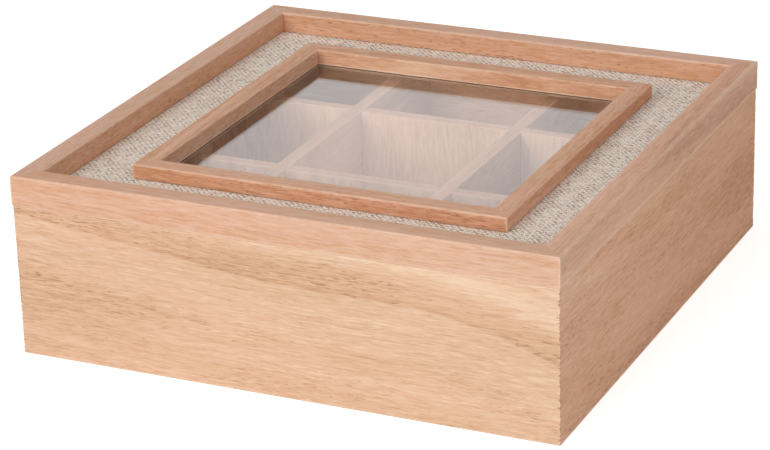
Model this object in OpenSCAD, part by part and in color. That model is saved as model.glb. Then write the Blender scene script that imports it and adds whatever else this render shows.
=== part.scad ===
// Wooden box with nine compartments for tea bags and a hinged, glazed lid.
// Millimetres. The origin is the middle of the face that it stands on: X runs to the
// right along the front, Y runs from the front to the back and Z runs up.

/* [Body] */
// Outside width of the lid, from left to right
lid_w = 240; // [180:1:320]
// Outside depth of the lid, from front to back
lid_d = 240; // [180:1:320]
// How far the lid stands out past the walls on each side
overhang = 0.4; // [0.2:0.1:2]
// Height of the four walls
body_h = 66; // [45:1:110]
// Thickness of the four walls
wall_t = 9; // [8:0.5:14]
// Thickness of the bottom panel
bottom_t = 3; // [2:0.5:6]
// Width of the rebate under the walls that takes the bottom panel
bottom_lap = 4.5; // [3:0.5:6]

/* [Dividers] */
// Thickness of the dividers
divider_t = 6; // [3:0.5:8]
// How far the tops of the dividers lie below the tops of the walls
divider_drop = 2.7; // [0.2:0.1:12]

/* [Lid] */
// Height of the lid's rim
rim_h = 13; // [9:0.5:24]
// Width of the rim, seen from above
rim_w = 10; // [9:0.5:16]
// Radius of the eased edges along the top of the rim
rim_ease = 0.8; // [0.2:0.1:2]
// Gap between the walls and the closed lid
seam_gap = 0.1; // [0.05:0.05:1]
// Width of the rebate under the rim that takes the lid's panel
panel_lap = 4; // [3:0.5:4.5]
// Thickness of the lid's panel
panel_t = 3; // [2.75:0.25:4.5]
// Thickness of the linen on the panel
linen_t = 0.7; // [0.4:0.1:1.2]

/* [Window] */
// Width of the band of linen between the rim and the raised window frame
linen_band = 26.5; // [15:0.5:40]
// Width of each strip of the window frame
strip_w = 8.7; // [7:0.1:14]
// Height of the window frame above the linen
strip_h = 6.2; // [4:0.1:10]
// Radius of the eased edges along the top of the window frame
strip_ease = 0.8; // [0.2:0.1:2]
// Thickness of the glass
glass_t = 2; // [1.5:0.1:2.6]
// How far the window frame laps over the edge of the glass
glass_lap = 3; // [2:0.25:4]
// Width of the beads that hold the glass from below
bead_w = 3.2; // [2.5:0.1:5]

/* [Hinges] */
// Distance of the middle of each hinge from the side of the lid
hinge_inset = 50; // [44:1:70]
// Length of each hinge
hinge_len = 30; // [24:1:40]
// Width of each leaf on the wood
leaf_w = 5.4; // [4.6:0.1:5.6]
// Thickness of the leaves and of their tails
leaf_t = 1; // [0.8:0.1:1.4]
// Outer radius of the knuckles
knuckle_r = 2.2; // [1.9:0.1:3]
// Radius of the hinge pin
pin_r = 1; // [0.7:0.1:1.2]
// Radius of the heads that keep the pin in its knuckles
pin_head_r = 1.6; // [1.5:0.1:1.8]
// Thickness of the heads of the pin
pin_head_t = 0.7; // [0.4:0.1:1.2]
// Reach of the tails behind the knuckles
tail_reach = 3.8; // [2:0.2:6]
// Angle at which the tails meet and stop the lid
stop_angle = 95; // [90:1:110]

/* [Screws] */
// Distance between the two screws of a leaf
screw_pitch = 18; // [14:1:20]
// Radius of the screws' shanks
screw_r = 0.8; // [0.6:0.1:1]
// Radius of the screws' countersunk heads
screw_head_r = 1.6; // [1.3:0.1:1.9]
// Length of the screws below the leaf
screw_len = 6; // [4:0.5:8]
// Width of the slot across a screw's head
slot_w = 0.5; // [0.3:0.1:0.7]
// Angle from X at which the slots came to rest
slot_turn = 40; // [10:5:80]

/* [Clearances] */
// Gap around a piece that is set into wood or stands between walls
wood_fit = 0.1; // [0.05:0.05:0.3]
// Gap around the glass in its cut-out
glass_fit = 0.3; // [0.1:0.1:0.6]
// Radial gap around the hinge pin, around the screws and around the screws' heads
pin_fit = 0.05; // [0.02:0.01:0.1]
// Gap between neighbouring knuckles, and between a knuckle and the lid or the tails
metal_fit = 0.3; // [0.2:0.05:0.5]
// Gap left between the tails at the stop
stop_fit = 0.1; // [0.05:0.05:0.3]

/* [Hidden] */
$fn = 64;

// The four pieces of every frame are the front one, turned about Z to its side
function turn_of(side) =
    side == "front" ? 0 : side == "right" ? 90 : side == "back" ? 180 : 270;
function runs_along_x(side) = side == "front" || side == "back";

// Cuts run this far past the faces that they open
over = 1;

// Walls and the space between them
body_w = lid_w - 2 * overhang;
body_d = lid_d - 2 * overhang;
inner_w = body_w - 2 * wall_t;
inner_d = body_d - 2 * wall_t;
bottom_w = inner_w + 2 * bottom_lap - 2 * wood_fit;
bottom_d = inner_d + 2 * bottom_lap - 2 * wood_fit;

// Three rows of three cells, so that each divider is one third of the way along
cell_w = (inner_w - 2 * divider_t) / 3;
cell_d = (inner_d - 2 * divider_t) / 3;
divider_x = (cell_w + divider_t) / 2;
divider_y = (cell_d + divider_t) / 2;
divider_h = body_h - divider_drop - bottom_t;

// Levels in the lid, from its underside up
rim_z = body_h + seam_gap;
linen_z = rim_z + panel_t;
frame_z = linen_z + linen_t;
glass_z = linen_z - glass_t;
bead_h = glass_z - rim_z;
panel_w = lid_w - 2 * (rim_w - panel_lap) - 2 * wood_fit;
panel_d = lid_d - 2 * (rim_w - panel_lap) - 2 * wood_fit;

// Outside of the window frame, the glass, and the cut-out in the panel and the linen
frame_w = lid_w - 2 * (rim_w + linen_band);
frame_d = lid_d - 2 * (rim_w + linen_band);
glass_w = frame_w - 2 * strip_w + 2 * glass_lap;
glass_d = frame_d - 2 * strip_w + 2 * glass_lap;
cutout_w = glass_w + 2 * glass_fit;
cutout_d = glass_d + 2 * glass_fit;

// Outside of the tongue under the window frame, which fills the gap down to the glass
tongue_w = cutout_w - 2 * wood_fit;
tongue_d = cutout_d - 2 * wood_fit;
tongue_lap = glass_lap + glass_fit - wood_fit;

// Hinge pins run along X, behind the lid and level with the seam
hinge_x = lid_w / 2 - hinge_inset;
pin_y = lid_d / 2 + knuckle_r + metal_fit;
pin_z = body_h + seam_gap / 2;
knuckle_len = (hinge_len - 2 * metal_fit) / 3;
leaf_edge_y = pin_y - knuckle_r - metal_fit;
leaf_y = leaf_edge_y - leaf_w;
screw_y = leaf_edge_y - leaf_w / 2;
tail_inner_r = knuckle_r + metal_fit;
tail_outer_r = knuckle_r + tail_reach;
slot_depth = leaf_t / 3;

// ---------------------------------------------------------------- shared shapes

// A bar's cross-section: its outer face stands on X = 0 and both top edges are eased
module bar_section(width, height, ease) {
    square([width, height - ease]);
    translate([ease, 0]) square([width - 2 * ease, height]);
    for (x = [ease, width - ease]) translate([x, height - ease]) circle(r = ease);
}

// Plan of the front piece of a frame that is w by d outside, mitred at both ends
module mitred_plan(w, d, width) {
    polygon([
        [-w / 2, -d / 2],
        [w / 2, -d / 2],
        [w / 2 - width, width - d / 2],
        [width - w / 2, width - d / 2]
    ]);
}

// One piece of a square-edged mitred frame, turned to its side
module flat_strip(w, d, side, width, z, h) {
    along = runs_along_x(side) ? w : d;
    across = runs_along_x(side) ? d : w;
    rotate([0, 0, turn_of(side)]) translate([0, 0, z]) linear_extrude(h)
        mitred_plan(along, across, width);
}

// One piece of a mitred frame with eased top edges, turned to its side
module eased_strip(w, d, side, width, z, h, ease) {
    along = runs_along_x(side) ? w : d;
    across = runs_along_x(side) ? d : w;
    rotate([0, 0, turn_of(side)]) intersection() {
        translate([0, 0, z - over]) linear_extrude(h + 2 * over)
            mitred_plan(along, across, width);
        translate([-along / 2 - over, -across / 2, z]) rotate([90, 0, 90])
            linear_extrude(along + 2 * over) bar_section(width, h, ease);
    }
}

// A flat plate about the Z axis
module plate(w, d, z, h) {
    translate([-w / 2, -d / 2, z]) cube([w, d, h]);
}

// Both hinges are alike: their pieces are made about X = 0 and then moved out
module at_left_hinge() {
    translate([-hinge_x, 0, 0]) children();
}

module at_right_hinge() {
    translate([hinge_x, 0, 0]) children();
}

// A leaf of the body lies below the seam, and one of the lid is its mirror image above it
module above_seam() {
    translate([0, 0, 2 * pin_z]) mirror([0, 0, 1]) children();
}

// The places of a leaf's two screws
module at_leaf_screws() {
    for (x = [-screw_pitch / 2, screw_pitch / 2]) translate([x, screw_y, body_h]) children();
}

// ---------------------------------------------------------------- body

// One wall, with the rebate for the bottom panel along its inner lower edge
module wall(side) {
    difference() {
        flat_strip(body_w, body_d, side, wall_t, 0, body_h);
        plate(bottom_w + 2 * wood_fit, bottom_d + 2 * wood_fit, -over, bottom_t + over);
    }
}

module front_wall() {
    color("burlywood") wall("front");
}

module right_wall() {
    color("burlywood") wall("right");
}

// The back wall also has the mortises and pilot holes of the two hinges
module back_wall() {
    color("burlywood") difference() {
        wall("back");
        at_left_hinge() leaf_mortise();
        at_right_hinge() leaf_mortise();
    }
}

module left_wall() {
    color("burlywood") wall("left");
}

module bottom_panel() {
    color("wheat") plate(bottom_w, bottom_d, 0, bottom_t);
}

// ---------------------------------------------------------------- dividers

// A board across the box along X, on its own centre line
module divider_board(length) {
    translate([-length / 2, -divider_t / 2, bottom_t]) cube([length, divider_t, divider_h]);
}

// The slots where two crossing boards pass each other, each half as deep as the boards
module crossing_slots(pitch, z) {
    slot = divider_t + 2 * wood_fit;
    for (x = [-pitch, pitch])
        translate([x - slot / 2, -divider_t, z])
            cube([slot, 2 * divider_t, divider_h / 2 + wood_fit + over]);
}

// A board from side to side, slotted from above
module cross_divider(y) {
    translate([0, y, 0]) difference() {
        divider_board(inner_w - 2 * wood_fit);
        crossing_slots(divider_x, bottom_t + divider_h / 2 - wood_fit);
    }
}

// A board from front to back, slotted from below
module long_divider(x) {
    translate([x, 0, 0]) rotate([0, 0, 90]) difference() {
        divider_board(inner_d - 2 * wood_fit);
        crossing_slots(divider_y, bottom_t - over);
    }
}

module divider_front() {
    color("tan") cross_divider(-divider_y);
}

module divider_rear() {
    color("tan") cross_divider(divider_y);
}

module divider_left() {
    color("tan") long_divider(-divider_x);
}

module divider_right() {
    color("tan") long_divider(divider_x);
}

// ---------------------------------------------------------------- lid

// One piece of the rim, with the rebate for the panel and the linen underneath
module rim(side) {
    difference() {
        eased_strip(lid_w, lid_d, side, rim_w, rim_z, rim_h, rim_ease);
        plate(panel_w + 2 * wood_fit, panel_d + 2 * wood_fit,
              rim_z - over, panel_t + linen_t + over);
    }
}

module lid_rim_front() {
    color("rosybrown") rim("front");
}

module lid_rim_right() {
    color("rosybrown") rim("right");
}

// The back of the rim also has the mortises and pilot holes of the two hinges
module lid_rim_back() {
    color("rosybrown") difference() {
        rim("back");
        at_left_hinge() above_seam() leaf_mortise();
        at_right_hinge() above_seam() leaf_mortise();
    }
}

module lid_rim_left() {
    color("rosybrown") rim("left");
}

// The panel carries the linen and is cut out for the glass
module lid_panel() {
    color("peru") difference() {
        plate(panel_w, panel_d, rim_z, panel_t);
        plate(cutout_w, cutout_d, rim_z - over, panel_t + 2 * over);
    }
}

module lid_linen() {
    color("beige") difference() {
        plate(panel_w, panel_d, linen_z, linen_t);
        plate(cutout_w, cutout_d, linen_z - over, linen_t + 2 * over);
    }
}

// ---------------------------------------------------------------- window

// Each strip has a tongue that reaches down through the cut-out in the linen to the glass
module window_frame(side) {
    eased_strip(frame_w, frame_d, side, strip_w, frame_z, strip_h, strip_ease);
    flat_strip(tongue_w, tongue_d, side, tongue_lap, linen_z, linen_t + strip_h / 2);
}

module window_frame_front() {
    color("sandybrown") window_frame("front");
}

module window_frame_right() {
    color("sandybrown") window_frame("right");
}

module window_frame_back() {
    color("sandybrown") window_frame("back");
}

module window_frame_left() {
    color("sandybrown") window_frame("left");
}

// The glass lies in the cut-out, level with the top of the lid's panel
module window_glass() {
    color("lightblue", 0.4) plate(glass_w, glass_d, glass_z, glass_t);
}

// The beads lie under the edge of the glass and end flush with the panel
module glazing_bead(side) {
    flat_strip(cutout_w - 2 * wood_fit, cutout_d - 2 * wood_fit, side, bead_w, rim_z, bead_h);
}

module glazing_bead_front() {
    color("burlywood") glazing_bead("front");
}

module glazing_bead_right() {
    color("burlywood") glazing_bead("right");
}

module glazing_bead_back() {
    color("burlywood") glazing_bead("back");
}

module glazing_bead_left() {
    color("burlywood") glazing_bead("left");
}

// ---------------------------------------------------------------- hinges

// One leaf of the body about X = 0: plate, knuckles and stop tail. The two outer knuckles
// belong to the body, and the middle one belongs to the lid.
module leaf(knuckles) {
    difference() {
        union() {
            translate([-hinge_len / 2, leaf_y, body_h - leaf_t])
                cube([hinge_len, leaf_w, leaf_t]);
            for (k = knuckles) knuckle(k);
            tail_plate(hinge_len, tail_inner_r);
        }
        translate([-hinge_len / 2 - over, pin_y, pin_z]) rotate([0, 90, 0])
            cylinder(r = pin_r + pin_fit, h = hinge_len + 2 * over);
        at_leaf_screws() screw_seat();
    }
}

// A knuckle with the tongue that joins it to its plate and the root of its tail
module knuckle(k) {
    translate([k * (knuckle_len + metal_fit), 0, 0]) {
        translate([-knuckle_len / 2, pin_y, pin_z]) rotate([0, 90, 0])
            cylinder(r = knuckle_r, h = knuckle_len);
        translate([-knuckle_len / 2, leaf_edge_y - over, body_h - leaf_t])
            cube([knuckle_len, pin_y - leaf_edge_y + over, leaf_t]);
        tail_plate(knuckle_len, 0);
    }
}

// The tail slopes down behind the knuckles, from an inner radius out to its tip
module tail_plate(length, inner_r) {
    translate([-length / 2, pin_y, pin_z]) rotate([-stop_angle / 2, 0, 0])
        translate([0, inner_r, -leaf_t - stop_fit / 2])
            cube([length, tail_outer_r - inner_r, leaf_t]);
}

// The countersunk hole of a screw in a leaf whose top face lies at Z = 0
module screw_seat() {
    seat_r = screw_r + pin_fit;
    translate([0, 0, -leaf_t]) {
        translate([0, 0, -over]) cylinder(r = seat_r, h = leaf_t + 2 * over);
        cylinder(r1 = seat_r, r2 = screw_head_r + pin_fit, h = leaf_t);
    }
}

// What a leaf needs cut out of the wood: its seat, open to the back, and the pilot holes
module leaf_mortise() {
    translate([-hinge_len / 2 - wood_fit, leaf_y - wood_fit, body_h - leaf_t])
        cube([hinge_len + 2 * wood_fit, leaf_w + wall_t, leaf_t + over]);
    at_leaf_screws() translate([0, 0, -leaf_t - screw_len - wood_fit])
        cylinder(r = screw_r + pin_fit, h = screw_len + wood_fit + over);
}

BODY_KNUCKLES = [-1, 1];
LID_KNUCKLES = [0];

module left_hinge_body_leaf() {
    color("goldenrod") at_left_hinge() leaf(BODY_KNUCKLES);
}

module right_hinge_body_leaf() {
    color("goldenrod") at_right_hinge() leaf(BODY_KNUCKLES);
}

module left_hinge_lid_leaf() {
    color("gold") at_left_hinge() above_seam() leaf(LID_KNUCKLES);
}

module right_hinge_lid_leaf() {
    color("gold") at_right_hinge() above_seam() leaf(LID_KNUCKLES);
}

// The pin runs through all three knuckles and has a flat head at each end
module hinge_pin() {
    translate([0, pin_y, pin_z]) rotate([0, 90, 0]) {
        cylinder(r = pin_r, h = hinge_len + 2 * pin_fit, center = true);
        for (s = [-1, 1]) translate([0, 0, s * (hinge_len / 2 + pin_fit + pin_head_t / 2)])
            cylinder(r = pin_head_r, h = pin_head_t, center = true);
    }
}

module left_hinge_pin() {
    color("darkgoldenrod") at_left_hinge() hinge_pin();
}

module right_hinge_pin() {
    color("darkgoldenrod") at_right_hinge() hinge_pin();
}

// A countersunk wood screw whose head lies flush with the leaf, at Z = 0
module screw() {
    tip_z = -leaf_t - screw_len;
    difference() {
        rotate_extrude() polygon([
            [0, 0],
            [screw_head_r, 0],
            [screw_r, -leaf_t],
            [screw_r, tip_z + screw_r],
            [screw_r / 4, tip_z],
            [0, tip_z]
        ]);
        rotate([0, 0, slot_turn]) translate([-screw_head_r - over, -slot_w / 2, -slot_depth])
            cube([2 * (screw_head_r + over), slot_w, slot_depth + over]);
    }
}

module body_hinge_screws() {
    color("khaki") {
        at_left_hinge() at_leaf_screws() screw();
        at_right_hinge() at_leaf_screws() screw();
    }
}

module lid_hinge_screws() {
    color("khaki") {
        at_left_hinge() above_seam() at_leaf_screws() screw();
        at_right_hinge() above_seam() at_leaf_screws() screw();
    }
}

// ---------------------------------------------------------------- assembly

front_wall();
right_wall();
back_wall();
left_wall();
bottom_panel();
divider_front();
divider_rear();
divider_left();
divider_right();
left_hinge_body_leaf();
right_hinge_body_leaf();
left_hinge_pin();
right_hinge_pin();
body_hinge_screws();
lid_rim_front();
lid_rim_right();
lid_rim_back();
lid_rim_left();
lid_panel();
lid_linen();
window_frame_front();
window_frame_right();
window_frame_back();
window_frame_left();
window_glass();
glazing_bead_front();
glazing_bead_right();
glazing_bead_back();
glazing_bead_left();
left_hinge_lid_leaf();
right_hinge_lid_leaf();
lid_hinge_screws();
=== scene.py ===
# %% [markdown]
# # A wooden tea box with a glazed, linen-covered lid
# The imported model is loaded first. Its solids fix where everything goes, and this script
# gives them their looks: real joints and eased edges, wood grain, woven linen, glass and brass.
# Each piece of wood, cloth and glass is made anew in the place of its solid, and the small metal
# parts keep their solids and get a finish.

# %% Load the frame
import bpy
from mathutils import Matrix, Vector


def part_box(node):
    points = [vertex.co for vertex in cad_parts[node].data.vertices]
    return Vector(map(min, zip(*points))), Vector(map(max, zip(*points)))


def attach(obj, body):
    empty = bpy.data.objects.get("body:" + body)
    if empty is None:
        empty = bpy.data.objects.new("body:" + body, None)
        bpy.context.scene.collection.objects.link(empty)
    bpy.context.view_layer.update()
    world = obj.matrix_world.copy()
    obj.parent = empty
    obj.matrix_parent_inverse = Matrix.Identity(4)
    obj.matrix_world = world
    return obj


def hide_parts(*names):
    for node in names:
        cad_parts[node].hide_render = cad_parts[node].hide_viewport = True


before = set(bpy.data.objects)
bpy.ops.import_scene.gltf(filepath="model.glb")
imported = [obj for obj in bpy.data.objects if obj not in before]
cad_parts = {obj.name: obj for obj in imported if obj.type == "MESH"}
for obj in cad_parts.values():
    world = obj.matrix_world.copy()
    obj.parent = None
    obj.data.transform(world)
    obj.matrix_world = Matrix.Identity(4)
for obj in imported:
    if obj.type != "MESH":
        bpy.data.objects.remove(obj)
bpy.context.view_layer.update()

from math import atan2, cos, pi, radians, sin

import bmesh
import bpy
from mathutils import Matrix, Quaternion, Vector, noise

MM = 0.001

# %% [markdown]
# ## Camera
# The straight edges of a box tell where its photographer stood. The camera could be placed by eye,
# but a pinhole camera fitted to the corners of the lid and the window frame is surer. It gave these
# angles, a long lens and a slight tilt.

# %% Set the camera
AZIMUTH, ELEVATION, ROLL = radians(25.148), radians(22.169), radians(-1.660)
TARGET, DISTANCE = Vector((0.00439, -0.02712, 0.0400)), 1.2350
SENSOR_WIDTH, FOCAL_LENGTH = 36.0, 137.03


def new_object(name, data):
    """Puts a camera, a lamp or a mesh into the scene."""
    made = bpy.data.objects.new(name, data)
    bpy.context.scene.collection.objects.link(made)
    return made


lens = bpy.data.cameras.new("long_lens")
lens.sensor_width, lens.lens = SENSOR_WIDTH, FOCAL_LENGTH
camera = new_object("camera", lens)
away = Vector((sin(AZIMUTH) * cos(ELEVATION), -cos(AZIMUTH) * cos(ELEVATION), sin(ELEVATION)))
camera.location = TARGET + away * DISTANCE
camera.rotation_mode = "QUATERNION"
camera.rotation_quaternion = away.to_track_quat("Z", "Y") @ Quaternion((0, 0, 1), ROLL)
bpy.context.scene.camera = camera
bpy.context.scene.view_settings.view_transform = "Standard"
print("camera at", [round(c, 3) for c in camera.location])

# %% [markdown]
# ## Nodes in few words
# Every material below is built from nodes. They could be placed by hand in the editor, but a script
# can be read and changed. A small helper makes one node, fills in its sockets and links whatever
# socket it is handed, so that a recipe reads from top to bottom. The others are short words for the
# nodes that come back most, and for a group with named sockets.

# %% Make a node, a sum and a group
def node(tree, kind, sockets=(), **settings):
    made = tree.nodes.new("ShaderNode" + kind)
    for name, value in settings.items():
        setattr(made, name, value)
    for key, value in dict(sockets).items():
        if isinstance(value, bpy.types.NodeSocket):
            tree.links.new(value, made.inputs[key])
        else:
            made.inputs[key].default_value = value
    return made


def reckon(tree, operation, *values):
    return node(tree, "Math", enumerate(values), operation=operation).outputs[0]


def reckon_vector(tree, operation, *values, out=0):
    made = node(tree, "VectorMath", enumerate(values), operation=operation)
    return made.outputs[out]


def times(tree, vector, factor):
    return node(tree, "VectorMath", {0: vector, "Scale": factor}, operation="SCALE").outputs[0]


def span(tree, value, low, high, start=0.0, end=1.0):
    """Turns low into start and high into end, evenly between them, and goes no further."""
    return node(tree, "MapRange", {"Value": value, 1: low, 2: high, 3: start, 4: end}).outputs[0]


def speckle(tree, place, scale, detail):
    """Noise between 0 and 1, mostly near a half. scale is the number of waves in a metre."""
    sockets = {"Vector": place, "Scale": scale, "Detail": detail}
    return node(tree, "TexNoise", sockets).outputs["Fac"]


def new_group(name, sockets_in, sockets_out):
    tree = bpy.data.node_groups.new(name, "ShaderNodeTree")
    for label, value in sockets_in.items():
        kind = "NodeSocketVector" if isinstance(value, tuple) else "NodeSocketFloat"
        tree.interface.new_socket(label, in_out="INPUT", socket_type=kind).default_value = value
    for label in sockets_out:
        tree.interface.new_socket(label, in_out="OUTPUT", socket_type="NodeSocketFloat")
    return tree, tree.nodes.new("NodeGroupInput").outputs, tree.nodes.new("NodeGroupOutput").inputs


print("node helpers are ready")

# %% [markdown]
# Colours are written as a screen shows them. A ramp turns a value into a colour, and a blend lays
# one more colour over another where a mask says so.

# %% Mix colours
def paint(code):
    """A colour written as on screen, such as e6bd9e, as the linear colour that nodes use."""
    parts = [int(code[i:i + 2], 16) / 255 for i in (0, 2, 4)]
    return [p / 12.92 if p <= 0.04045 else ((p + 0.055) / 1.055) ** 2.4 for p in parts] + [1.0]


def ramp(tree, value, stops):
    """Colours (or greys) at places from 0 to 1, with an even change between them."""
    made = node(tree, "ValToRGB", {"Fac": value})
    marks = made.color_ramp.elements
    stops = list(stops)
    marks[0].position, marks[0].color = stops[0]
    marks[1].position, marks[1].color = stops[-1]
    for position, colour in stops[1:-1]:
        marks.new(position).color = colour
    return made.outputs["Color"]


def blend(tree, share, colour, code):
    return node(tree, "Mix", {"Factor": share, 6: colour, 7: paint(code)},
                data_type="RGBA").outputs[2]


print("a pale tan is", [round(c, 3) for c in paint("e6bd9e")])

# %% [markdown]
# ## Light
# A product photograph is lit by a white tent and large soft lamps. The tent is the world: it
# gives the object even light, while the lens and every reflection see it as plain white. A picture
# of a studio could light it too, but plain lamps are easier to reason about.

# %% Hang the white tent
TENT = 0.38


def is_seen(tree):
    """1 where the ray comes from the lens, a reflection or through glass, and 0 elsewhere."""
    path = node(tree, "LightPath").outputs
    either = reckon(tree, "MAXIMUM", path["Is Camera Ray"], path["Is Glossy Ray"])
    return reckon(tree, "MAXIMUM", either, path["Is Transmission Ray"])


world = bpy.data.worlds.new("white_tent")
bpy.context.scene.world = world
world.use_nodes = True
sky = world.node_tree
sky.nodes.clear()
tent_strength = reckon(sky, "MULTIPLY_ADD", is_seen(sky), 1.0 - TENT, TENT)
tent = node(sky, "Background", {"Color": (1, 1, 1, 1), "Strength": tent_strength})
node(sky, "OutputWorld", {"Surface": tent.outputs[0]})
print("the tent gives", TENT, "and looks like 1")

# %% [markdown]
# The main lamp stands in front, to the left, and makes the front brighter than the top and the
# right side. A weaker one hangs above and reaches into the cells, and a reflector fills the right
# side. The fourth stands behind, where the pane mirrors it to the lens and shows it as a pale
# sheen.

# %% Set up the lamps
LAMP_FAR = 2.0
LAMP_AIM = Vector((0, 0, 0.04))


def soft_lamp(name, way, size, level, tint=(1, 1, 1)):
    """A square lamp 2 m off. At level 1 a white face turned towards it would come out white."""
    way = Vector(way).normalized()
    data = bpy.data.lights.new(name, "AREA")
    data.shape, data.size = "SQUARE", size
    data.energy = level * pi ** 2 * LAMP_FAR ** 2
    data.color = tint
    lamp = new_object(name, data)
    lamp.location = way * LAMP_FAR + LAMP_AIM
    lamp.rotation_euler = way.to_track_quat("Z", "Y").to_euler()
    print(name, "gives", round(data.energy, 1), "watts")


soft_lamp("softbox", (-0.25, -0.9, 0.42), 0.9, 0.49)
soft_lamp("overhead lamp", (-0.1, -0.4, 0.9), 1.4, 0.085)
soft_lamp("reflector", (0.9, -0.5, 0.45), 1.2, 0.19)
soft_lamp("back light", (-0.39, 0.84, 0.38), 1.2, 0.042, tint=(1.0, 0.75, 0.70))

# %% [markdown]
# ## Floor
# The box stands on a wide white table. A plane that is only white would come out grey, and one
# that only glows would lose the shadow, so this one is both: seen by the lens it glows a little,
# and its diffuse part still darkens under the box. It lies a tenth of a millimetre low, so that it
# never fights with the underside for the same place.

# %% Lay the floor
FLOOR_REACH, FLOOR_DROP, FLOOR_GLOW = 6.0, 0.1 * MM, 0.6
TABLE_WHITE = (0.9, 0.9, 0.9, 1)


def new_material(name):
    """An empty material, and the node tree to fill."""
    made = bpy.data.materials.new(name)
    made.use_nodes = True
    made.node_tree.nodes.clear()
    return made, made.node_tree


floor_white, tree = new_material("white table")
matt = node(tree, "BsdfDiffuse", {"Color": TABLE_WHITE})
glow = node(tree, "Emission", {"Strength": reckon(tree, "MULTIPLY", is_seen(tree), FLOOR_GLOW)})
both = node(tree, "AddShader", {0: matt.outputs[0], 1: glow.outputs[0]})
node(tree, "OutputMaterial", {"Surface": both.outputs[0]})

bm = bmesh.new()
bmesh.ops.create_grid(bm, x_segments=1, y_segments=1, size=FLOOR_REACH)
floor_mesh = bpy.data.meshes.new("floor")
bm.to_mesh(floor_mesh)
bm.free()
floor_mesh.materials.append(floor_white)
floor = new_object("floor", floor_mesh)
floor.location.z = -FLOOR_DROP
print("the floor reaches", FLOOR_REACH, "m each way")

# %% [markdown]
# ## Wood grain
# A board is cut from a log, and its figure is the log's rings met at a slant: near the pith they
# run out into long arches, further off they lie in straight bands. Blender's Wave texture gives
# rings too, but all alike, so here they are computed round a pith line, bent a little by slow
# noise. Fine fibres and short dark pores run along the same lines. The group puts out plain values,
# and each board's material colours them.

# %% Build the wood grain group
def build_grain():
    tree, given, result = new_group(
        "wood grain",
        {"Position": (0.0, 0.0, 0.0), "Pith": (0.0, 0.03, -0.06), "Tilt": (0.0, 0.02, 0.04),
         "Bend": 0.0, "Ring Width": 0.005, "Warp": 0.003},
        ["Across", "Tone", "Patch", "Line", "Fibre", "Pores", "Height"])
    slow = node(tree, "TexNoise", {
        "Vector": reckon_vector(tree, "MULTIPLY", given["Position"], (6.0, 22.0, 22.0)),
        "Scale": 1.0, "Detail": 1.5})
    centred = reckon_vector(tree, "SUBTRACT", slow.outputs["Color"], (0.5, 0.5, 0.5))
    sway = times(tree, reckon_vector(tree, "MULTIPLY", centred, (0.0, 2.0, 2.0)), given["Warp"])
    bend = node(tree, "CombineXYZ", {"Z": given["Bend"]}).outputs[0]
    straight = reckon_vector(tree, "ADD", given["Position"], sway)
    flow = reckon_vector(tree, "ADD", straight, bend)
    tree.links.new(node(tree, "SeparateXYZ", {0: flow}).outputs["Z"], result["Across"])

    along = node(tree, "SeparateXYZ", {0: given["Position"]}).outputs["X"]
    pith = reckon_vector(tree, "ADD", given["Pith"], times(tree, given["Tilt"], along))
    off = reckon_vector(tree, "MULTIPLY", reckon_vector(tree, "SUBTRACT", flow, pith),
                        (0.0, 1.0, 1.0))
    radius = reckon_vector(tree, "LENGTH", off, out="Value")
    rings = reckon(tree, "DIVIDE", radius, given["Ring Width"])
    tone = node(tree, "TexNoise", {"W": rings, "Scale": 0.45, "Detail": 3.0, "Roughness": 0.6},
                noise_dimensions="1D").outputs["Fac"]
    tree.links.new(span(tree, tone, 0.3, 0.7), result["Tone"])
    saw = reckon(tree, "POWER", reckon(tree, "FRACT", rings), 6.0)
    tree.links.new(saw, result["Line"])

    def streaks(stretch, detail, roughness=0.6):
        """Noise drawn out along the grain. stretch is the number of waves in a metre."""
        place = reckon_vector(tree, "MULTIPLY", straight, stretch)
        return node(tree, "TexNoise", {"Vector": place, "Scale": 1.0, "Detail": detail,
                                       "Roughness": roughness}).outputs["Fac"]

    tree.links.new(streaks((9.0, 55.0, 55.0), 2.0), result["Patch"])
    fibre = streaks((110.0, 1250.0, 1250.0), 4.0, 0.7)
    tree.links.new(fibre, result["Fibre"])
    brink = span(tree, streaks((16.0, 90.0, 90.0), 2.0), 0.35, 0.65, 0.70, 0.57)
    depth = reckon(tree, "SUBTRACT", streaks((250.0, 2300.0, 2300.0), 1.0, 0.4), brink)
    pores = span(tree, depth, 0.0, 0.06)
    tree.links.new(pores, result["Pores"])
    height = reckon(tree, "MULTIPLY_ADD", fibre, 0.6, 0.4)
    tree.links.new(reckon(tree, "MULTIPLY_ADD", pores, -0.7, height), result["Height"])
    return tree


WOOD_GRAIN = build_grain()
print("wood grain has", len(WOOD_GRAIN.nodes), "nodes")
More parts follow.
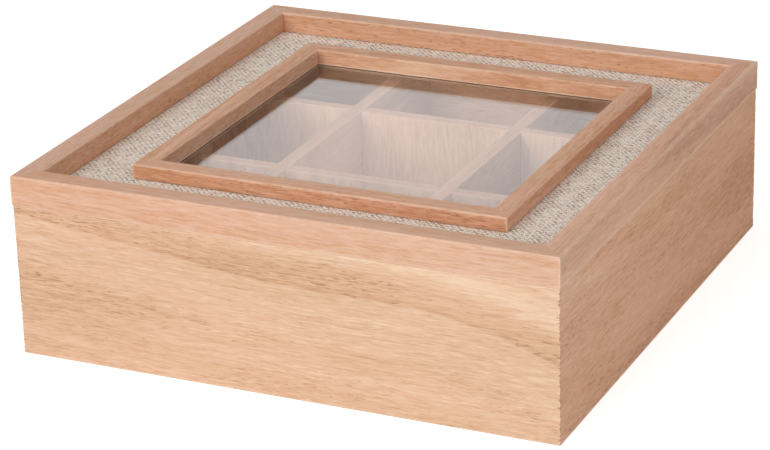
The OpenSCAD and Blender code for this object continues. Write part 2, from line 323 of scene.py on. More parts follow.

# %% [markdown]
# ## Worn edges with painted highlight
# Handling rounds a sawn edge and rubs it paler, and a rounded edge catches a highlight, so the pale
# band here is partly rubbed wood and partly painted highlight. The Pointiness of a mesh finds edges
# too, but only as finely as the mesh is cut. On a straight board the distance to the nearest edge
# is easy to reckon: of the distances to its three nearest faces, one is zero on the surface, and
# the second smallest is the distance to the edge. Noise breaks the band up.

# %% Build the edge wear group
def build_wear_and_highlight():
    tree, given, result = new_group(
        "edge wear",
        {"Position": (0.0, 0.0, 0.0), "Low": (0.0, 0.0, 0.0), "High": (1.0, 1.0, 1.0),
         "Width": 0.0010}, ["Wear", "Chips", "Nicks"])
    place = given["Position"]
    low = reckon_vector(tree, "SUBTRACT", place, given["Low"])
    high = reckon_vector(tree, "SUBTRACT", given["High"], place)
    near = reckon_vector(tree, "MAXIMUM", reckon_vector(tree, "MINIMUM", low, high), (0, 0, 0))
    x, y, z = node(tree, "SeparateXYZ", {0: near}).outputs
    total = reckon(tree, "ADD", reckon(tree, "ADD", x, y), z)
    most = reckon(tree, "MAXIMUM", reckon(tree, "MAXIMUM", x, y), z)
    away = reckon(tree, "SUBTRACT", total, most)
    ragged = span(tree, speckle(tree, place, 420.0, 3.0), 0.3, 0.7, 0.6, 1.3)
    reach = reckon(tree, "MULTIPLY", given["Width"], ragged)
    wear = span(tree, reckon(tree, "DIVIDE", away, reach), 0.25, 1.0, 1.0, 0.0)
    tree.links.new(wear, result["Wear"])
    few = span(tree, speckle(tree, place, 900.0, 1.0), 0.60, 0.68)
    tree.links.new(reckon(tree, "MULTIPLY", few, wear), result["Chips"])
    # Spots beside the vertical corners get a darker colour: torn grain, and partly painted shade in
    # its pits.
    climb = reckon_vector(tree, "MULTIPLY", place, (160.0, 160.0, 900.0))
    bite = span(tree, speckle(tree, climb, 1.0, 2.0), 0.48, 0.66, 0.0, 1.5 * MM)
    torn_and_shaded = reckon(tree, "LESS_THAN", reckon(tree, "ADD", x, y), bite)
    tree.links.new(torn_and_shaded, result["Nicks"])
    return tree


EDGE_WEAR_AND_HIGHLIGHT = build_wear_and_highlight()
print("edge wear has", len(EDGE_WEAR_AND_HIGHLIGHT.nodes), "nodes")

# %% [markdown]
# ## Grain placed from a list
# The front of a box is what its maker picks the finest board for, and its bands are what one
# remembers. Noise can't be told where to put them. So a curve says how the grain rises and falls
# along the board, and a list says how dark it is at each height.

# %% Bend the grain and set its bands
HALF_LONG, CURVE_HIGH = 120, 60    # millimetres


def bent(tree, position, points):
    """Metres to add across the grain, from a curve of (along, across) points in millimetres."""
    along = node(tree, "SeparateXYZ", {0: position}).outputs["X"]
    share = span(tree, along, -HALF_LONG * MM, HALF_LONG * MM)
    curve = node(tree, "FloatCurve", {"Value": share})
    line = curve.mapping.curves[0]
    knots = [((x + HALF_LONG) / (2 * HALF_LONG), y / CURVE_HIGH + 0.5) for x, y in points]
    for i, knot in enumerate(knots):
        if i < 2:
            line.points[i].location = knot
        else:
            line.points.new(*knot)
    curve.mapping.update()
    return reckon(tree, "MULTIPLY", reckon(tree, "SUBTRACT", curve.outputs[0], 0.5),
                  CURVE_HIGH * MM)


def banded(tree, figure, bands, contrast):
    """The tone of listed bands, as (millimetres across, tone), mixed with the rings' own."""
    first, last = bands[0][0], bands[-1][0]
    share = span(tree, figure["Across"], first * MM, last * MM)
    stops = [((at - first) / (last - first), (tone, tone, tone, 1)) for at, tone in bands]
    own = reckon(tree, "MULTIPLY", reckon(tree, "SUBTRACT", figure["Tone"], 0.5), contrast / 3)
    return reckon(tree, "ADD", ramp(tree, share, stops), own)


print("a curve spans", 2 * HALF_LONG, "mm of a board")

# %% [markdown]
# ## The wood finishes
# The boards are sanded and unvarnished. Walls and rim are a pale pinkish tan, and the window frame
# comes from redder wood. A finish is four tones, from the darkest bands to the palest. One material
# for all boards would run the same figure through every joint, so each board gets a material of its
# own, with its own piece of the log, and its grain turned along its length.

# %% Mix a wood material
WALL_TONES = ["bd906f", "d6ae8c", "e0bd9f", "ead0b1"]
# The right wall's tones are the walls' wood made warmer: painted shade for the side away from the
# main lamp.
SHADED_SIDE_TONES = ["bf8a63", "d8a581", "e3b695", "ebc5a5"]
RIM_TONES = ["bc8860", "d19f7b", "dbb39a", "e2c0a9"]
PINK_TONES = ["c49275", "d9a98c", "e3b89d", "eac6ae"]
FRAME_TONES = ["b97d58", "cf9975", "dcaf92", "e5c0a6"]
# The dividers' tones are the walls' wood darkened: painted shade for the dim inside of the box.
SHADED_DIVIDER_TONES = ["976a4d", "b38b6d", "c3a085", "d0b29b"]
PLY_TONES = ["d0a681", "e6c4a2", "f0d3b5", "f6dfc6"]
# The beads' tones are very dark: painted shade for the strip seen through the pane beside the
# frame.
SHADED_BEAD_TONES = ["573621", "6b482d", "795538", "846246"]
TONE_PLACES = (0.0, 0.38, 0.7, 1.0)
# Of the last three colours, the pale one marks rubbed edges and is also painted highlight on them;
# the first dark one marks chips and is painted shade on the dividers' tops; the second dark one
# marks torn grain and is partly painted shade in its pits.
ROSY, PORE, WORN_AND_HIGHLIT, TOP_SHADE_AND_CHIP, TORN_AND_SHADED = "e3a48c", "9a6a4c", "f2d6bc", "8a5c3c", "a06a48"
TURNS = {"x": (0, 0, 0), "y": (0, 0, -pi / 2), "z": (0, pi / 2, 0)}


def wood(name, tones, node_name, along="x", shift=(0, 0, 0), wear=0.0010, nicks=0.0, bands=None,
         drift=(0.0, 0.0), contrast=0.6, pores=0.7, painted_top_shade=0.0, **grain):
    """The finish of the board that stands for node_name. Its edges are paler in a band as wide as
    wear, partly rubbed and partly painted highlight. bands are listed tones, which on some strips
    make a paler top over darker faces as painted light and shade, and drift is what its two ends
    add to them. nicks, pores and painted_top_shade say how much of each shows; the dark of the
    nicks is partly painted shade in torn grain, and the painted_top_shade layer is painted shade on
    a top face. What is left over goes to the grain group."""
    made, tree = new_material(name)
    place = node(tree, "TexCoord").outputs["Object"]
    turned = node(tree, "Mapping", {"Vector": place, "Rotation": TURNS[along],
                                    "Location": shift}).outputs[0]
    grain = {label.replace("_", " ").title(): value for label, value in grain.items()}
    if "Bend" in grain:
        grain["Bend"] = bent(tree, turned, grain["Bend"])
    figure = node(tree, "Group", {"Position": turned, **grain}, node_tree=WOOD_GRAIN).outputs
    if bands:
        tone = banded(tree, figure, bands, contrast)
    else:
        tone = reckon(tree, "MULTIPLY_ADD", figure["Tone"], contrast, 0.55 - contrast / 2)
    dark_share = span(tree, tone, 0.35, 0.65, 1.0, 0.25)
    far = node(tree, "SeparateXYZ", {0: place}).outputs["Y" if along == "y" else "X"]
    for more in (span(tree, figure["Fibre"], 0.3, 0.7, -0.34, 0.34),
                 span(tree, figure["Patch"], 0.3, 0.7, -0.12, 0.12),
                 span(tree, far, -HALF_LONG * MM, HALF_LONG * MM, *drift)):
        tone = reckon(tree, "ADD", tone, more)
    colour = ramp(tree, tone, zip(TONE_PLACES, map(paint, tones)))

    low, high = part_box(node_name)
    height = node(tree, "SeparateXYZ", {0: place}).outputs["Z"]
    edge = node(tree, "Group", {"Position": place, "Low": low, "High": high, "Width": wear},
                node_tree=EDGE_WEAR_AND_HIGHLIGHT).outputs
    layers = ((figure["Line"], tones[0], 0.12),
              (span(tree, figure["Patch"], 0.42, 0.62), ROSY, 0.14),
              (reckon(tree, "MULTIPLY", figure["Pores"], dark_share), PORE, pores),
              # The top-face layer is painted shade.
              (reckon(tree, "GREATER_THAN", height, high[2] - 0.2 * MM), TOP_SHADE_AND_CHIP, painted_top_shade),
              # The pale edge layer is rubbed wood and painted highlight, and the corner layer is
              # torn grain with painted shade in its pits.
              (edge["Wear"], WORN_AND_HIGHLIT, 0.4), (edge["Chips"], TOP_SHADE_AND_CHIP, 0.12), (edge["Nicks"], TORN_AND_SHADED, nicks))
    for mask, code, share in layers:
        colour = blend(tree, reckon(tree, "MULTIPLY", mask, share), colour, code)
    rough = span(tree, figure["Height"], 0.0, 1.0, 0.74, 0.58)
    bump = node(tree, "Bump", {"Height": figure["Height"], "Strength": 0.35, "Distance": 0.0002})
    skin = node(tree, "BsdfPrincipled", {"Base Color": colour, "Roughness": rough,
                                         "Normal": bump.outputs[0], "Specular IOR Level": 0.22})
    node(tree, "OutputMaterial", {"Surface": skin.outputs[0]})
    return made


print("a wood finish has", len(WALL_TONES), "tones")

# %% [markdown]
# ## From mesh to piece
# Every board below starts as a bmesh. This cell turns a bmesh into a piece of the box: doubled
# points are merged, faces are shaded smooth up to an angle, and a Weighted Normal modifier keeps
# the flats flat beside their eased edges. The piece is hung under the body it rides on, and the
# solids it stands in for are hidden.

# %% Turn a bmesh into a piece
SHARP = radians(38)


def smooth_object(bm, name, material):
    mesh = bpy.data.meshes.new(name)
    bm.to_mesh(mesh)
    bm.free()
    for face in mesh.polygons:
        face.use_smooth = True
    mesh.materials.append(material)
    print(name, "has", len(mesh.polygons), "faces")
    return new_object(name, mesh)


def new_piece(bm, name, node_names, body, material):
    bmesh.ops.remove_doubles(bm, verts=bm.verts, dist=0.001 * MM)
    piece = smooth_object(bm, name, material)
    piece.data.set_sharp_from_angle(angle=SHARP)
    piece.modifiers.new("even shading", "WEIGHTED_NORMAL").keep_sharp = True
    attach(piece, body)
    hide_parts(*node_names)


print("faces that meet at over", round(SHARP * 180 / pi), "degrees keep a sharp edge")

# %% [markdown]
# A joiner works with few moves: draw a section out to a length, saw across it, and ease the edges.
# Bevel modifiers could ease the edges too, but with the operator each edge gets its own radius.

# %% Draw out, cut and ease
PLAY = 0.1 * MM


def low_high(node_name):
    low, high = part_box(node_name)
    return Vector(low), Vector(high)


def draw_out(bm, faces, way):
    pulled = bmesh.ops.extrude_face_region(bm, geom=faces)["geom"]
    bmesh.ops.translate(bm, verts=[v for v in pulled if isinstance(v, bmesh.types.BMVert)],
                        vec=way)


def cut(bm, point, normal, clear=False):
    done = bmesh.ops.bisect_plane(bm, geom=bm.verts[:] + bm.edges[:] + bm.faces[:], dist=1e-7,
                                  plane_co=point, plane_no=normal, clear_outer=clear)
    if clear:
        rim = [e for e in done["geom_cut"] if isinstance(e, bmesh.types.BMEdge)]
        bmesh.ops.edgeloop_fill(bm, edges=rim)


def ease(bm, edges, radius, segments=3):
    bmesh.ops.bevel(bm, geom=edges, offset=radius, offset_type="OFFSET", segments=segments,
                    profile=0.5, affect="EDGES", material=-1, clamp_overlap=True)


print("pieces that meet have", round(PLAY / MM, 2), "mm of play")

# %% [markdown]
# ## Hinge seats
# The leaves of the hinges lie flush in seats, which are open to the back. A Boolean would cut them,
# but can leave slivers on such thin floors. So a seat is made by slicing the strip along the seat's
# planes, taking away the skin over it and laying in its floor and its three inner sides.

# %% Let a hinge leaf into a strip
leaf_low, leaf_high = low_high("right_hinge_body_leaf")
SEAT_X = (leaf_low.x - PLAY, leaf_high.x + PLAY)
SEAT_Y, SEAT_DEEP = -(leaf_low.y - PLAY), 1.0 * MM


def let_in(bm, x_low, x_high, open_z, way):
    """Seats lie in the front strip's place. way is 1 for a seat open above, -1 for one below."""
    deep = open_z - way * SEAT_DEEP
    for point, normal in (((x_low, 0, 0), (1, 0, 0)), ((x_high, 0, 0), (1, 0, 0)),
                          ((0, SEAT_Y, 0), (0, 1, 0)), ((0, 0, deep), (0, 0, 1))):
        cut(bm, point, normal)
    skin = []
    for face in bm.faces:
        x, y, z = face.calc_center_median()
        if x_low < x < x_high and y < SEAT_Y and (z - deep) * way > 0:
            skin.append(face)
    bmesh.ops.delete(bm, geom=skin, context="FACES")
    rim = {v for e in bm.edges if e.is_boundary for v in e.verts}
    foot = [bm.verts.new((x, SEAT_Y, deep)) for x in (x_low, x_high)]
    for corner in foot:
        end = [v for v in rim if abs(v.co.x - corner.co.x) < 1e-6]
        end.sort(key=lambda v: atan2((v.co.z - deep) * way, SEAT_Y - v.co.y))
        bm.faces.new(end + [corner])
    for axis, value in ((2, deep), (1, SEAT_Y)):
        row = sorted((v for v in rim if abs(v.co[axis] - value) < 1e-6), key=lambda v: v.co.x)
        bm.faces.new(row + foot[::-1])


print("a seat is", round((SEAT_X[1] - SEAT_X[0]) / MM, 1), "mm long")

# %% [markdown]
# ## Mitred strips
# Walls, rim, window frame and beads are all frames of four strips whose ends are sawn at 45
# degrees. One strip is made as the front one: its cross-section is drawn, pulled out along X, cut
# by the two mitre planes, and its edges are eased. Then it is turned to its side of the box. So
# one function makes every strip, and the mitres meet by themselves.

# %% Make one mitred strip
SIDES = {"front": 0, "right": 90, "back": 180, "left": 270}
LENGTHWISE = {"front": "x", "right": "y", "back": "x", "left": "y"}


def mitred_strip(section, side, mitre_ease=0.12 * MM, levels=(), seats=None):
    """section is (y, z, ease) round the front strip, in metres. levels are heights to slice at.
    seats is the height of the face with the hinge seats, and 1 or -1 for the way it faces."""
    bm = bmesh.new()
    half = max(abs(y) for y, z, r in section)
    profile = bm.faces.new([bm.verts.new((-half - MM, y, z)) for y, z, r in section])
    draw_out(bm, [profile], (2 * (half + MM), 0, 0))
    for end in (1, -1):
        cut(bm, (0, 0, 0), (end, 1, 0), clear=True)
    bmesh.ops.recalc_face_normals(bm, faces=bm.faces)
    for y, z, radius in section:
        if radius:
            long_edges = [e for e in bm.edges if all(
                abs(v.co.y - y) < 1e-6 and abs(v.co.z - z) < 1e-6 for v in e.verts)]
            ease(bm, long_edges, radius)
    ends = [e for e in bm.edges if all(abs(abs(v.co.x) + v.co.y) < 2e-6 for v in e.verts)]
    ease(bm, ends, mitre_ease, segments=1)
    for level in levels:
        cut(bm, (0, 0, level), (0, 0, 1))
    if seats and side == "back":
        for x_low, x_high in (SEAT_X, (-SEAT_X[1], -SEAT_X[0])):
            let_in(bm, x_low, x_high, *seats)
        bmesh.ops.recalc_face_normals(bm, faces=bm.faces)
    bmesh.ops.rotate(bm, verts=bm.verts, cent=(0, 0, 0),
                     matrix=Matrix.Rotation(radians(SIDES[side]), 3, "Z"))
    return bm


print("strips are made for", ", ".join(SIDES))

# %% [markdown]
# ## Walls
# The four walls have a rebate along the inner lower edge that takes the bottom panel. Their outer
# corners are sharp mitres where planing has torn out small nicks. A bump map can't change an
# outline, so each wall is sliced into thin levels, and the corner's points are pushed in here and
# there along the diagonal.

# %% Nick the corners
def nick(bm, half, levels, deepest):
    """Pushes the outer corners in at some levels. Both walls at a corner get the same nicks, and
    the corner towards the viewer, the one that is knocked most, gets the deepest."""
    for v in bm.verts:
        if abs(v.co.x) > half - 0.4 * MM and abs(v.co.y) > half - 0.4 * MM:
            seed = 7.0 * (v.co.x > 0) + 3.0 * (v.co.y > 0)
            depth = deepest if v.co.x > 0 > v.co.y else deepest / 3
            raw = noise.noise(Vector((seed, 0.5, v.co.z * 900))) + 0.1
            inside = min(v.co.z - levels[0], levels[1] - v.co.z)
            push = depth * max(0.0, raw) * min(1.0, max(0.0, inside / (0.6 * MM)))
            v.co.x -= push if v.co.x > 0 else -push
            v.co.y -= push if v.co.y > 0 else -push


print("the corner towards the viewer gets the deepest nicks")

# %% [markdown]
# A wall's section is six corners, each with the radius that sanding left on it. The front and the
# right wall show in the photograph, so their grain follows a listed curve and listed bands. The
# others get a plain cut of the same log.

# %% Make the walls
wall_low, wall_high = low_high("front_wall")
WALL_OUT, WALL_IN, WALL_TOP = -wall_low.y, -wall_high.y, wall_high.z
bottom_low, bottom_high = low_high("bottom_panel")
REBATE = bottom_high.x + PLAY
SLICES = 90
wall_section = [(-WALL_OUT, 0, 0.4 * MM), (-REBATE, 0, 0), (-REBATE, bottom_high.z, 0),
                (-WALL_IN, bottom_high.z, 0), (-WALL_IN, WALL_TOP, 0.3 * MM),
                (-WALL_OUT, WALL_TOP, 0.35 * MM)]
wall_levels = [WALL_TOP * (i + 0.5) / SLICES for i in range(SLICES)]
wall_looks = {
    "front": dict(bend=[(-120, 0), (-60, 7), (0, 13), (60, 15), (80, 18), (118, 30)],
                  bands=[(0, 0.60), (12, 0.62), (30, 0.58), (44, 0.54), (53, 0.62), (60, 0.70),
                         (62.5, 0.66), (63.5, 0.34), (66, 0.44), (72, 0.40), (75, 0.52),
                         (78, 0.70), (83, 0.78), (90, 0.7)],
                  pith=(0, 0.2, -0.3), tilt=(0, 0, 0), warp=0.002, drift=(-0.12, 0.04)),
    # The right wall's warmer tones are painted shade, and its drift darkens it towards the back
    # end: painted light falloff.
    "right": dict(tones=SHADED_SIDE_TONES, bend=[(-120, -16), (-60, -6), (0, 0), (60, 4), (118, 6)],
                  bands=[(-10, 0.46), (6, 0.48), (14, 0.58), (24, 0.5), (33, 0.6), (40, 0.5),
                         (47, 0.64), (55, 0.58), (62, 0.68), (72, 0.56)],
                  pith=(0, 0.25, -0.2), tilt=(0, 0, 0), warp=0.004, drift=(0.05, -0.3)),
    "back": dict(shift=(0.7, 0.1, 0.0), pith=(0, -0.02, 0.11), tilt=(0, -0.1, 0.03),
                 ring_width=0.005),
    "left": dict(shift=(-0.5, -0.03, 0.0), pith=(0, 0.05, 0.10), tilt=(0, 0.04, 0.06),
                 ring_width=0.0055)}
for side, looks in wall_looks.items():
    bm = mitred_strip(wall_section, side, levels=wall_levels, seats=(WALL_TOP, 1))
    nick(bm, WALL_OUT, (0, WALL_TOP), 0.6 * MM)
    finish = wood("wood of the %s wall" % side, looks.pop("tones", WALL_TONES), side + "_wall",
                  along=LENGTHWISE[side], nicks=0.55, **looks)
    new_piece(bm, side + "_wall_board", [side + "_wall"], "box", finish)

# %% [markdown]
# ## Lid rim
# The rim is a frame like the walls, 10 mm wide and 13 mm high, eased along both top edges, with a
# rebate underneath for the lid's panel. It is made the same way, with fewer slices, because its
# corners are short.

# %% Make the rim
rim_low, rim_high = low_high("lid_rim_front")
panel_low, panel_high = low_high("lid_panel")
linen_low, linen_high = low_high("lid_linen")
RIM_OUT, RIM_IN, PANEL_IN = -rim_low.y, -rim_high.y, panel_high.x + PLAY
RIM_SLICES = 9
rim_section = [(-RIM_OUT, rim_low.z, 0.35 * MM), (-PANEL_IN, rim_low.z, 0.2 * MM),
               (-PANEL_IN, linen_high.z, 0), (-RIM_IN, linen_high.z, 0),
               (-RIM_IN, rim_high.z, 0.8 * MM), (-RIM_OUT, rim_high.z, 0.8 * MM)]
rim_levels = [rim_low.z + (rim_high.z - rim_low.z) * (i + 0.5) / RIM_SLICES
              for i in range(RIM_SLICES)]
rim_looks = {
    "front": dict(bend=[(-120, 0), (-60, 1), (-20, 5), (10, 4), (60, 1), (118, 0)],
                  bands=[(62, 0.56), (66, 0.6), (70, 0.68), (74, 0.62), (79, 0.6), (86, 0.58)],
                  pith=(0, 0.2, -0.3), tilt=(0, 0, 0), warp=0.003, pores=0.3,
                  drift=(-0.16, 0.02)),
    # The right strip's wider pale edge band is painted highlight along its top outer edge, and its
    # drift darkens it towards the back end: painted light falloff.
    "right": dict(tones=PINK_TONES, shift=(0.4, 0.02, 0.0), pith=(0, 0.05, 0.0),
                  tilt=(0, 0.03, -0.03), drift=(0.05, -0.05), pores=0.3, wear=0.0017),
    # On the back and left strips the bands make the top face paler and the faces below it darker:
    # painted light on the top, painted shade on the sides.
    "back": dict(shift=(-0.7, 0.1, 0.0), pith=(0, -0.2, 0.2), tilt=(0, -0.05, 0.03),
                 ring_width=0.012, warp=0.0003,
                 bands=[(60, 0.40), (77.8, 0.42), (78.8, 0.7), (90, 0.7)]),
    "left": dict(shift=(-0.2, -0.03, 0.0), pith=(0, 0.05, 0.16), tilt=(0, 0.04, 0.04),
                 warp=0.0003, bands=[(60, 0.36), (77.8, 0.36), (78.8, 0.6), (90, 0.6)])}
for side, looks in rim_looks.items():
    bm = mitred_strip(rim_section, side, levels=rim_levels, seats=(rim_low.z, -1))
    nick(bm, RIM_OUT, (rim_low.z, rim_high.z - 1 * MM), 0.3 * MM)
    finish = wood("wood of the %s rim" % side, looks.pop("tones", RIM_TONES), "lid_rim_" + side,
                  along=LENGTHWISE[side], **looks)
    new_piece(bm, "rim_strip_" + side, ["lid_rim_" + side], "lid", finish)

# %% [markdown]
# ## Window frame and beads
# The raised frame lies on the linen, and a tongue under it reaches through to hold the pane down.
# Its wood is redder than the rim's. Four thin beads hold the pane from below; they are coloured
# very dark, which is painted shade for the strip seen through the pane beside the frame. All eight
# strips come from the same function, so only their sections and their wood are new.

# %% Make the window frame and the beads
frame_low, frame_high = low_high("window_frame_front")
bead_low, bead_high = low_high("glazing_bead_front")
frame_section = [(frame_low.y, linen_high.z, 0.2 * MM), (bead_low.y, linen_high.z, 0),
                 (bead_low.y, frame_low.z, 0.1 * MM), (frame_high.y, frame_low.z, 0.05 * MM),
                 (frame_high.y, frame_high.z, 0.7 * MM), (frame_low.y, frame_high.z, 0.7 * MM)]
bead_section = [(bead_low.y, bead_low.z, 0.1 * MM), (bead_high.y, bead_low.z, 0.3 * MM),
                (bead_high.y, bead_high.z, 0.1 * MM), (bead_low.y, bead_high.z, 0.1 * MM)]
# On the front strip the bands make the top face paler and the outer face darker: painted light and
# painted shade. The right strip's drift makes it paler along its whole length: painted light for
# its shaded outer face.
frame_looks = {"front": dict(bands=[(60, 0.30), (75.0, 0.32), (75.9, 0.6), (80, 0.6)],
                             contrast=1.1),
               "right": dict(contrast=0.5, drift=(0.08, 0.08)),
               "back": dict(contrast=0.5), "left": dict(contrast=0.5)}
for i, side in enumerate(SIDES):
    bm = mitred_strip(frame_section, side, mitre_ease=0.15 * MM)
    finish = wood("wood of the %s frame strip" % side, FRAME_TONES, "window_frame_" + side,
                  along=LENGTHWISE[side], shift=(0.37 * i + 0.1, 0.05 * i, 0.0),
                  pith=(0, 0.03, 0.02), tilt=(0, 0.03, 0.05), ring_width=0.003, warp=0.0004,
                  **frame_looks[side])
    new_piece(bm, "frame_strip_" + side, ["window_frame_" + side], "lid", finish)
    bm = mitred_strip(bead_section, side, mitre_ease=0.1 * MM)
    finish = wood("wood of the %s bead" % side, SHADED_BEAD_TONES, "glazing_bead_" + side,
                  along=LENGTHWISE[side], shift=(-0.2 * i, 0.04, 0.0), wear=0.0006)
    new_piece(bm, "bead_strip_" + side, ["glazing_bead_" + side], "lid", finish)

# %% [markdown]
# ## Dividers
# Four boards cross in the box. The two from side to side are notched halfway down from above, the
# two from front to back from below, and they slide into each other. Boards that merely ran through
# each other would look alike from above, but not as loose pieces, so each outline is drawn with its
# notches. Their wood is the walls' wood darkened, as painted shade for the dim inside of the box.
# Their tops get more light than their faces, so a darker colour laid over each top is painted
# shade.

# %% Make the dividers
right_low, right_high = low_high("divider_right")
PITCH = (right_low.x + right_high.x) / 2
NOTCH = (right_high.x - right_low.x) / 2 + PLAY


def divider(node_name, way, notch_up, finish):
    """The outline is drawn along the board's long axis and Z, then drawn out to its thickness."""
    low, high = low_high(node_name)
    long_axis, thin_axis = (0, 1) if way == "x" else (1, 0)
    reach = high[long_axis]
    edge, far = (high.z, low.z) if notch_up else (low.z, high.z)
    stop = (low.z + high.z) / 2 + (-PLAY if notch_up else PLAY)
    outline = [(-reach, edge)]
    for centre in (-PITCH, PITCH):
        outline += [(centre - NOTCH, edge), (centre - NOTCH, stop),
                    (centre + NOTCH, stop), (centre + NOTCH, edge)]
    outline += [(reach, edge), (reach, far), (-reach, far)]
    bm = bmesh.new()
    corners = []
    for along, z in outline:
        corner = Vector((low.x, low.y, z))
        corner[long_axis] = along
        corners.append(bm.verts.new(corner))
    thick = Vector((0, 0, 0))
    thick[thin_axis] = high[thin_axis] - low[thin_axis]
    draw_out(bm, [bm.faces.new(corners)], thick)
    bmesh.ops.recalc_face_normals(bm, faces=bm.faces)
    ease(bm, bm.edges[:], 0.25 * MM, segments=2)
    new_piece(bm, node_name + "_board", [node_name], "box", finish)


for i, (name, way, up) in enumerate((("divider_front", "x", True), ("divider_rear", "x", True),
                                     ("divider_left", "y", False), ("divider_right", "y", False))):
    finish = wood("wood of " + name, SHADED_DIVIDER_TONES, name, along="z" if way == "x" else way,
                  shift=(0.23 * i, 0.3 * i, 0.0), pith=(0, 0.02 * i, -0.05 + 0.04 * i),
                  tilt=(0, 0.05, 0.06 - 0.05 * i), ring_width=0.005, wear=0.0004,
                  painted_top_shade=0.5)
    divider(name, way, up, finish)

# %% [markdown]
# ## Bottom and lid panel
# Both panels are thin sheets of plywood. The bottom is a cube drawn to size with its edges eased.
# A Bevel modifier would give the same shape, and the operator keeps the mesh as it is seen.

# %% Make the bottom
def board(low, high, radius):
    bm = bmesh.new()
    bmesh.ops.create_cube(bm, size=1)
    bmesh.ops.scale(bm, verts=bm.verts, vec=high - low)
    bmesh.ops.translate(bm, verts=bm.verts, vec=(low + high) / 2)
    ease(bm, bm.edges[:], radius, segments=2)
    return bm


finish = wood("wood of the bottom", PLY_TONES, "bottom_panel", along="x",
              shift=(0.1, 0.2, 0.0), pith=(0, 0.05, -0.02), tilt=(0, 0.05, 0.01), ring_width=0.008)
new_piece(board(bottom_low, bottom_high, 0.3 * MM), "bottom_board", ["bottom_panel"], "box",
          finish)

# %% [markdown]
# The lid's panel is cut out for the pane. A Boolean could do it, but a grid of nine faces that
# loses its middle one and is then given its thickness has cleaner corners.

# %% Make the lid's panel
CUTOUT = low_high("glazing_bead_right")[1].x + PLAY
bm = bmesh.new()
bmesh.ops.create_grid(bm, x_segments=3, y_segments=3, size=panel_high.x)
for v in bm.verts:
    for axis in (0, 1):
        if abs(v.co[axis]) < panel_high.x * 0.9:
            v.co[axis] = CUTOUT if v.co[axis] > 0 else -CUTOUT
middle = [f for f in bm.faces if f.calc_center_median().length < 1 * MM]
bmesh.ops.delete(bm, geom=middle, context="FACES")
bmesh.ops.translate(bm, verts=bm.verts, vec=(0, 0, panel_low.z))
draw_out(bm, bm.faces[:], (0, 0, panel_high.z - panel_low.z))
bmesh.ops.recalc_face_normals(bm, faces=bm.faces)
ease(bm, [e for e in bm.edges if len(e.link_faces) == 2 and e.calc_face_angle() > 1],
     0.2 * MM, segments=2)
finish = wood("wood of the lid panel", PLY_TONES, "lid_panel", along="x",
              shift=(-0.3, 0.5, 0.0), pith=(0, 0.3, -0.02), tilt=(0, 0.05, 0.01), ring_width=0.007,
              contrast=0.4)
new_piece(bm, "lid_board", ["lid_panel"], "lid", finish)

# %% [markdown]
# ## Linen
# The recess is lined with a plain weave: each thread goes over one and under the next. Real threads
# could be laid as curves, but that is thousands of them. The sheet is a fine grid instead, two
# steps to a thread, so that every crossing stands up as a small knot and every hole between four
# threads lies low. Threads differ in thickness, as spun flax does.

# %% Weave the linen
THREAD = 1.36 * MM
KNOT_RISE = {0: 0.22, 1: 0.06, 2: -0.14}
linen_half = linen_high.x
steps = round(2 * linen_half / (THREAD / 2))
step = 2 * linen_half / steps


def thread_swell(number, way, along):
    """How thick a thread is at a place along it, about 1."""
    return 1 + 0.3 * noise.noise(Vector((number * 3.7, 11.0 * way, along * 240)))


bm = bmesh.new()
bmesh.ops.create_grid(bm, x_segments=steps, y_segments=steps, size=linen_half)
hole = [f for f in bm.faces if max(abs(f.calc_center_median().x),
                                   abs(f.calc_center_median().y)) < CUTOUT]
bmesh.ops.delete(bm, geom=hole, context="FACES")
for v in bm.verts:
    i, j = round((v.co.x + linen_half) / step), round((v.co.y + linen_half) / step)
    swell = (thread_swell(i // 2, 0, v.co.y) + thread_swell(j // 2, 1, v.co.x)) / 2
    v.co.z = linen_low.z + (0.36 + KNOT_RISE[i % 2 + j % 2] * swell) * MM
border = [e for e in bm.edges if e.is_boundary]
for v in bmesh.ops.extrude_edge_only(bm, edges=border)["geom"]:
    if isinstance(v, bmesh.types.BMVert):
        v.co.z = linen_low.z
bmesh.ops.recalc_face_normals(bm, faces=bm.faces)
print("the linen has", steps, "steps a side")

# %% [markdown]
# The threads' colours follow the same grid: each thread has its own shade of raw flax, the holes
# are darker, which is painted shade between the threads, and fine twist shows across every thread.
# A slow sway keeps the threads from lying as straight as a ruler. A picture of cloth would repeat,
# and would not meet the knots.

# %% Colour the linen
WOBBLE = 1.3 * MM


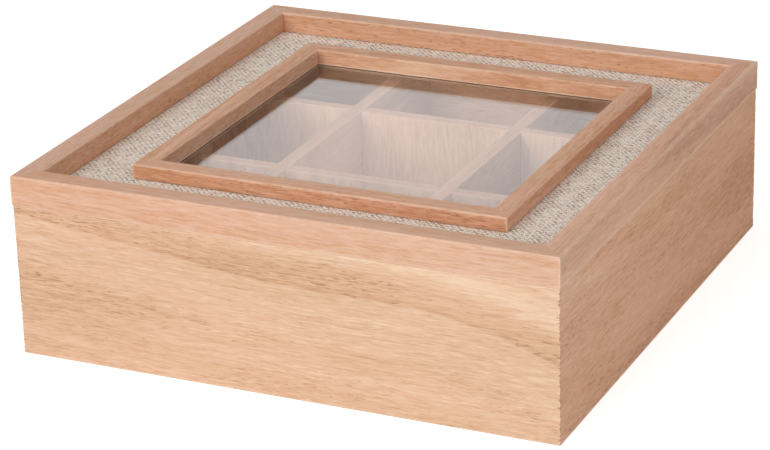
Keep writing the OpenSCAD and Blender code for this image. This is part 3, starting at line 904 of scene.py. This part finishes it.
def linen_finish():
    made, tree = new_material("raw linen")
    place = node(tree, "TexCoord").outputs["Object"]
    sway = node(tree, "TexNoise", {"Vector": place, "Scale": 330.0, "Detail": 1.0}).outputs["Color"]
    middle = linen_half - WOBBLE / 2
    sway = reckon_vector(tree, "MULTIPLY_ADD", sway, (WOBBLE, WOBBLE, 0.0), (middle, middle, 0.0))
    count = times(tree, reckon_vector(tree, "ADD", place, sway), 0.5 / step)
    x, y = node(tree, "SeparateXYZ", {0: count}).outputs[:2]
    near_x, near_y = (reckon(tree, "ROUND", c) for c in (x, y))
    shades = [node(tree, "TexWhiteNoise", {"W": near}, noise_dimensions="1D").outputs["Value"]
              for near in (near_x, reckon(tree, "ADD", near_y, 500.5))]
    over = reckon(tree, "PINGPONG", reckon(tree, "ADD", near_x, near_y), 1.0)
    own = node(tree, "Mix", {"Factor": over, 2: shades[0], 3: shades[1]}).outputs[0]
    shade = reckon(tree, "MULTIPLY_ADD", own, 0.12, reckon(tree, "MULTIPLY", over, 0.26))
    slub = speckle(tree, place, 1500.0, 3.0)
    knot = node(tree, "CombineXYZ", {"X": near_x, "Y": near_y}).outputs[0]
    chance = node(tree, "TexWhiteNoise", {"Vector": knot}, noise_dimensions="3D").outputs["Value"]
    uneven = reckon(tree, "MULTIPLY_ADD", chance, 0.32, reckon(tree, "MULTIPLY", slub, 0.82))
    flax = ramp(tree, reckon(tree, "ADD", shade, uneven),
                [(0.42, paint("ac917a")), (0.72, paint("f5dfcc")), (0.92, paint("fff9f0"))])
    # The holes between the threads get a darker colour: painted shade.
    gap = [reckon(tree, "ABSOLUTE", reckon(tree, "SUBTRACT", c, near))
           for c, near in ((x, near_x), (y, near_y))]
    deep = reckon(tree, "MULTIPLY_ADD", chance, 0.6, 0.3)
    painted_hole_shade = span(tree, reckon(tree, "MULTIPLY", *gap), 0.08, 0.22, 0.0, deep)
    colour = blend(tree, painted_hole_shade, flax, "7a6450")
    twist = speckle(tree, place, 3800.0, 2.0)
    bump = node(tree, "Bump", {"Height": twist, "Strength": 0.5, "Distance": 0.0002})
    skin = node(tree, "BsdfPrincipled", {
        "Base Color": colour, "Roughness": 0.9, "Normal": bump.outputs[0],
        "Specular IOR Level": 0.2, "Sheen Weight": 0.15, "Sheen Roughness": 0.5})
    node(tree, "OutputMaterial", {"Surface": skin.outputs[0]})
    return made


linen = smooth_object(bm, "linen_sheet", linen_finish())
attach(linen, "lid")
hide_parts("lid_linen")

# %% [markdown]
# ## Glass
# The pane is a 2 mm sheet with ground edges. Glass makes noisy shadows when light is bent through
# it, so for shadow rays it is simply clear, which is also how thin glass looks. Faint smears in the
# roughness keep its reflections from being perfect.

# %% Make the pane
glass, tree = new_material("clear glass")
smear = speckle(tree, node(tree, "TexCoord").outputs["Object"], 25.0, 4.0)
clear = node(tree, "BsdfPrincipled", {
    "Base Color": (0.98, 0.99, 1.0, 1), "Roughness": span(tree, smear, 0.45, 0.75, 0.0, 0.03),
    "IOR": 1.5, "Transmission Weight": 1.0})
see_through = node(tree, "BsdfTransparent", {"Color": (0.85, 0.84, 0.83, 1)})
mixed = node(tree, "MixShader", {0: node(tree, "LightPath").outputs["Is Shadow Ray"],
                                 1: clear.outputs[0], 2: see_through.outputs[0]})
node(tree, "OutputMaterial", {"Surface": mixed.outputs[0]})
new_piece(board(*low_high("window_glass"), 0.25 * MM), "window_pane", ["window_glass"], "lid",
          glass)

# %% [markdown]
# ## Brass
# Hinges, pins and screws are small turned and stamped parts, and the solids already have their
# shapes, so they only get a finish. Brass that is not lacquered has brushed bright faces with fine
# scratches, and goes brown in spots.

# %% Finish the hinges
brass, tree = new_material("aged brass")
place = node(tree, "TexCoord").outputs["Object"]
brushed = reckon_vector(tree, "MULTIPLY", place, (150.0, 3000.0, 3000.0))
lines = speckle(tree, brushed, 1.0, 3.0)
tarnish = span(tree, speckle(tree, place, 350.0, 2.0), 0.42, 0.7)
bump = node(tree, "Bump", {"Height": lines, "Strength": 0.1, "Distance": 0.00003})
skin = node(tree, "BsdfPrincipled", {
    "Base Color": blend(tree, tarnish, paint("d8bc86"), "b59660"), "Metallic": 1.0,
    "Roughness": span(tree, lines, 0.3, 0.7, 0.34, 0.46), "Normal": bump.outputs[0]})
node(tree, "OutputMaterial", {"Surface": skin.outputs[0]})
metal = [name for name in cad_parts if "hinge" in name]
for name in metal:
    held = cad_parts[name]
    held.data.materials.clear()
    held.data.materials.append(brass)
print("brass on", metal)
